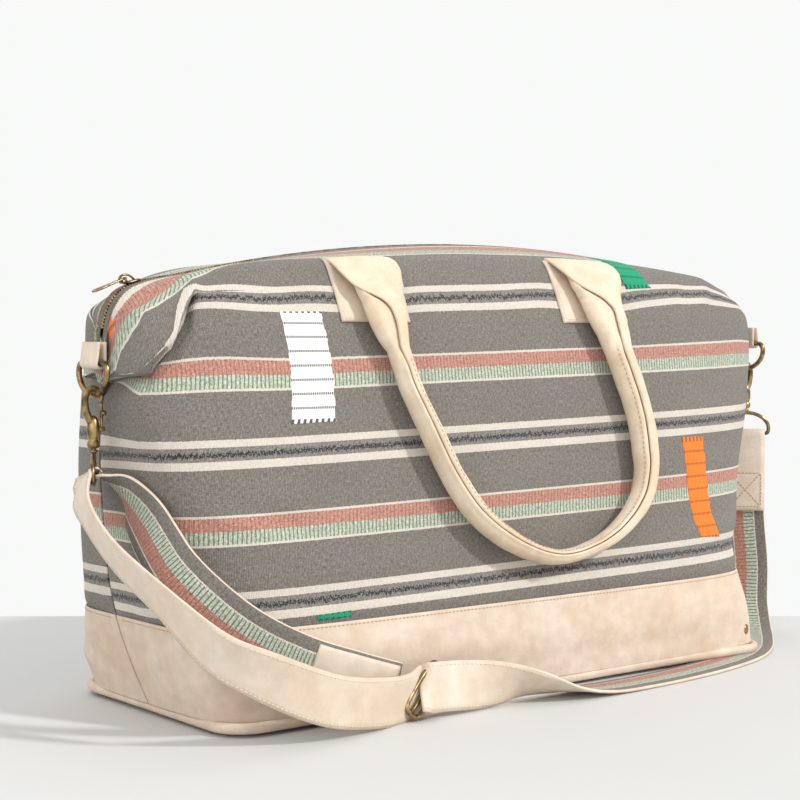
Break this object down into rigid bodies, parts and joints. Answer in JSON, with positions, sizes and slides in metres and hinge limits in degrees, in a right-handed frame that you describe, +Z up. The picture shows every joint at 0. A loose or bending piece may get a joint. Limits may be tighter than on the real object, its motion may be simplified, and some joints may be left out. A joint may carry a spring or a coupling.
{
  "type": "weekender bag",
  "caption": "Soft striped-cloth weekender bag with a leather base band, two rolled leather handles, a zip along the top and a shoulder strap on swivel snap hooks.",
  "frame": {"origin": "on the ground under the middle of the flat part of the base", "axes": "+X along the bag to the right end, -Y the front, +Z up"},
  "size_m": [0.744, 0.2965, 0.3569],
  "materials": {
    "cloth": "woven, striped",
    "leather": "pale, lightly mottled",
    "lining": "plain weave",
    "board": "fibreboard",
    "tape": "woven tape",
    "brass": "antique, satin"
  },
  "bodies": {
    "bag": {"base_panel": "leather", "base_board": "board", "base_piping": "leather", "front_panel": "cloth", "rear_panel": "cloth", "front_leather_band": "leather", "rear_leather_band": "leather", "lining": "lining", "front_zip_tape": "tape", "rear_zip_tape": "tape", "front_zip_teeth": "brass", "rear_zip_teeth": "brass", "left_ring_tab": "leather", "right_ring_tab": "leather", "front_handle_patch_1": "leather", "front_handle_patch_2": "leather", "rear_handle_patch_1": "leather", "rear_handle_patch_2": "leather", "corner_stud": "brass", "strap_loop": "leather", "strap_main": "leather", "strap_end_tab": "leather", "strap_buckle": "brass"},
    "front_handle_body": {"front_handle": "leather"},
    "rear_handle_body": {"rear_handle": "leather"},
    "slider": {"zip_slider": "brass"},
    "pull": {"zip_pull": "brass"},
    "left_ring": {"left_d_ring": "brass", "left_swivel_eye": "brass"},
    "left_hook": {"left_hook_body": "brass"},
    "left_gate": {"left_hook_gate": "brass"},
    "right_ring": {"right_d_ring": "brass", "right_swivel_eye": "brass"},
    "right_hook": {"right_hook_body": "brass"},
    "right_gate": {"right_hook_gate": "brass"}
  },
  "joints": [
    {"name": "front_handle_fold", "type": "hinge", "parent": "bag", "child": "front_handle_body", "pos_m": [0, -0.033, 0.3529], "axis": [-0.9999, 0.002, -0.0122], "range_deg": [0, 155]},
    {"name": "rear_handle_fold", "type": "hinge", "parent": "bag", "child": "rear_handle_body", "pos_m": [0, 0.033, 0.3529], "axis": [0.9999, 0.002, 0.0122], "range_deg": [0, 155]},
    {"name": "zip_slider_travel", "type": "hinge", "parent": "bag", "child": "slider", "pos_m": [0.03, 0, -1.041], "axis": [0, 1, 0], "range_deg": [0, 25]},
    {"name": "zip_pull_flip", "type": "hinge", "parent": "slider", "child": "pull", "pos_m": [-0.30057, 0, 0.32303], "axis": [0, 1, 0], "range_deg": [0, 140]},
    {"name": "left_ring_swing", "type": "hinge", "parent": "bag", "child": "left_ring", "pos_m": [-0.327, -0.002, 0.262], "axis": [0, 1, 0], "range_deg": [0, 75], "deforming": ["strap_loop"]},
    {"name": "left_hook_twist", "type": "hinge", "parent": "left_ring", "child": "left_hook", "pos_m": [-0.327, -0.002, 0.262], "axis": [0, 0, 1], "range_deg": [-20, 20]},
    {"name": "left_gate_open", "type": "slide", "parent": "left_hook", "child": "left_gate", "axis": [0, 0, -1], "range_m": [0, 0.007], "stiffness_N_per_m": 150, "springref_m": -0.004},
    {"name": "right_ring_swing", "type": "hinge", "parent": "bag", "child": "right_ring", "pos_m": [0.367, -0.009, 0.273], "axis": [0, -1, 0], "range_deg": [0, 75], "deforming": ["strap_main", "strap_end_tab"]},
    {"name": "right_hook_twist", "type": "hinge", "parent": "right_ring", "child": "right_hook", "pos_m": [0.367, -0.009, 0.273], "axis": [0, 0, 1], "range_deg": [-20, 20]},
    {"name": "right_gate_open", "type": "slide", "parent": "right_hook", "child": "right_gate", "axis": [0, 0, -1], "range_m": [0, 0.007], "stiffness_N_per_m": 150, "springref_m": -0.004}
  ]
}
